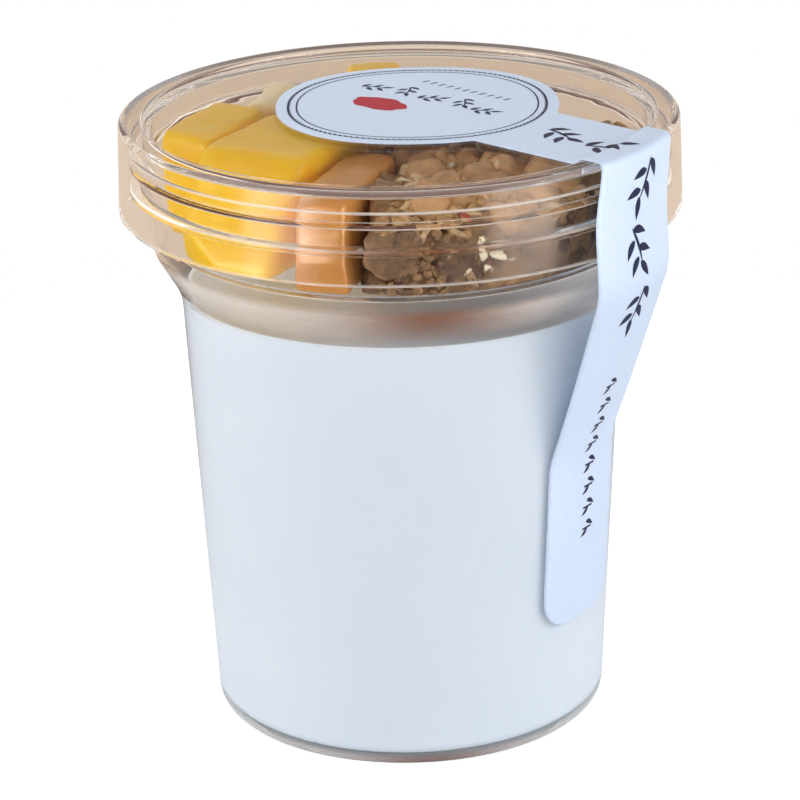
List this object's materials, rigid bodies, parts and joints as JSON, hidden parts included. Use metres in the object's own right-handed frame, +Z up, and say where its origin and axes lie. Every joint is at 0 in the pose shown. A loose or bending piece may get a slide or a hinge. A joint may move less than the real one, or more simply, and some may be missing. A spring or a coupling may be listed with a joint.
{
  "type": "filled dessert cup",
  "caption": "Clear round cup of set yogurt with a fruit and granola tray in its mouth, a clear deep-skirted lid and a paper label strip from lid to cup.",
  "frame": {"origin": "centre of the foot, on the plane that the cup stands on", "axes": "+Z up along the cup's axis, -Y towards the front, the label's strip comes down at the front right between +X and -Y"},
  "size_m": [0.097, 0.097, 0.1082],
  "materials": {
    "clear_plastic": "polished injection-moulded clear polystyrene with a faint warm tint",
    "yogurt": "smooth set yogurt against the cup's wall",
    "label_paper": "coated white label paper with dark blue and red print",
    "mango": "wet cut mango flesh",
    "pear": "wet pale cut fruit",
    "peach": "wet orange-brown cut fruit",
    "granola": "toasted oat and nut clusters"
  },
  "bodies": {
    "root": {"cup": "clear_plastic", "tray": "clear_plastic", "lid": "clear_plastic", "yogurt": "yogurt", "label": "label_paper", "mango_1": "mango", "mango_2": "mango", "mango_3": "mango", "pear_1": "pear", "peach_1": "peach", "granola": "granola"}
  },
  "joints": []
}
